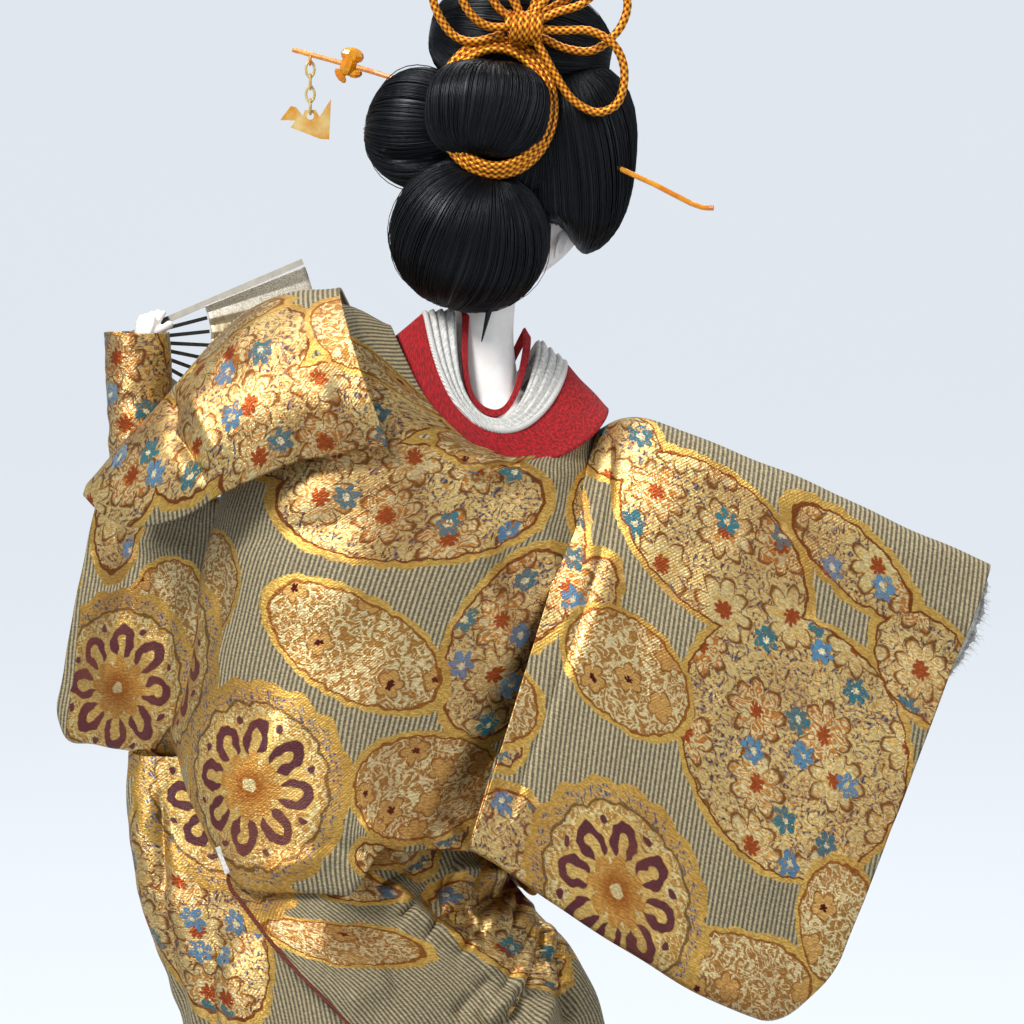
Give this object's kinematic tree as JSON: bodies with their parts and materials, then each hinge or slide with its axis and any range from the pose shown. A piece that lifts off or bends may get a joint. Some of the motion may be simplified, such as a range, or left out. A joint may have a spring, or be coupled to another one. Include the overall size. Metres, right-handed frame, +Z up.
{
  "type": "japanese doll",
  "caption": "Standing Japanese doll in a brocade robe, seen from behind, with dressed hair, a hairpin with a swinging chain charm, and an open folding fan.",
  "frame": {"origin": "on the straw core's flat underside, plumb below the waist, on the surface that the doll stands on", "axes": "+Z up the doll, -Y towards the doll's back, +X towards the outstretched arm"},
  "size_m": [0.2724, 0.1345, 0.4661],
  "materials": {
    "shell_white": "hard plastic head and hands with a smooth shell-white coat",
    "black_silk": "glossy combed black silk thread",
    "gold_cord": "braided gold and orange metallic thread",
    "amber_plastic": "translucent amber moulded plastic",
    "pale_amber_plastic": "pale translucent yellow moulded plastic",
    "straw": "tightly bound straw",
    "wrapped_wire": "wire wrapped in white paper",
    "red_crepe": "red crepe",
    "white_silk": "white silk with a fine crinkle",
    "white_tape": "small white paper tape",
    "brocade": "gold brocade woven over a fine striped ground",
    "rust_piping": "rust-red turned edge",
    "black_lacquer": "black lacquered sticks",
    "silver_paper": "pleated silvered paper"
  },
  "bodies": {
    "doll": {"head_and_neck": "shell_white", "left_hand": "shell_white", "right_hand": "shell_white", "hair_cap": "black_silk", "hair_nape_roll": "black_silk", "hair_left_wing": "black_silk", "hair_right_wing": "black_silk", "hair_front_roll": "black_silk", "hair_top_bun": "black_silk", "hair_back_barrel": "black_silk", "hair_nape_wisp": "black_silk", "cord_band": "gold_cord", "cord_knot": "gold_cord", "cord_loop_1": "gold_cord", "cord_loop_2": "gold_cord", "cord_loop_3": "gold_cord", "cord_loop_4": "gold_cord", "cord_loop_5": "gold_cord", "cord_loop_6": "gold_cord", "hairpin_rod": "amber_plastic", "hairpin_bow": "amber_plastic", "small_hairpin": "amber_plastic", "torso_core": "straw", "lower_core": "straw", "left_arm_wire": "wrapped_wire", "right_arm_wire": "wrapped_wire", "inner_collar": "red_crepe", "red_collar": "red_crepe", "waist_cord": "red_crepe", "white_collar": "white_silk", "collar_piping": "white_silk", "right_sleeve_lining": "white_silk", "tape_strip": "white_tape", "robe_body": "brocade", "robe_skirt": "brocade", "robe_overlap": "brocade", "left_side_fold": "brocade", "right_sleeve": "brocade", "left_sleeve_flap": "brocade", "left_sleeve_drop": "brocade", "left_cuff": "brocade", "edge_piping": "rust_piping", "fan_guard_near": "black_lacquer", "fan_guard_far": "black_lacquer", "fan_rivet": "black_lacquer", "fan_rib_1": "black_lacquer", "fan_rib_2": "black_lacquer", "fan_rib_3": "black_lacquer", "fan_rib_4": "black_lacquer", "fan_rib_5": "black_lacquer", "fan_rib_6": "black_lacquer", "fan_leaf": "silver_paper"},
    "link_1": {"chain_link_1": "pale_amber_plastic"},
    "link_2": {"chain_link_2": "pale_amber_plastic"},
    "link_3": {"chain_link_3": "pale_amber_plastic"},
    "link_4": {"chain_link_4": "pale_amber_plastic"},
    "crane": {"crane_pendant": "pale_amber_plastic"}
  },
  "joints": [
    {"name": "link_1_swing", "type": "hinge", "parent": "doll", "child": "link_1", "pos_m": [-0.026, 0.02054, 0.43099], "axis": [0, 1, 0], "range_deg": [-10, 30]},
    {"name": "link_2_swing", "type": "hinge", "parent": "link_1", "child": "link_2", "pos_m": [-0.026, 0.02054, 0.42729], "axis": [1, 0, 0], "range_deg": [-15, 15]},
    {"name": "link_3_swing", "type": "hinge", "parent": "link_2", "child": "link_3", "pos_m": [-0.026, 0.02054, 0.42359], "axis": [0, 1, 0], "range_deg": [-15, 15]},
    {"name": "link_4_swing", "type": "hinge", "parent": "link_3", "child": "link_4", "pos_m": [-0.026, 0.02054, 0.41989], "axis": [1, 0, 0], "range_deg": [-15, 15]},
    {"name": "crane_swing", "type": "hinge", "parent": "link_4", "child": "crane", "pos_m": [-0.026, 0.02054, 0.41619], "axis": [0, 1, 0], "range_deg": [-15, 15]}
  ]
}
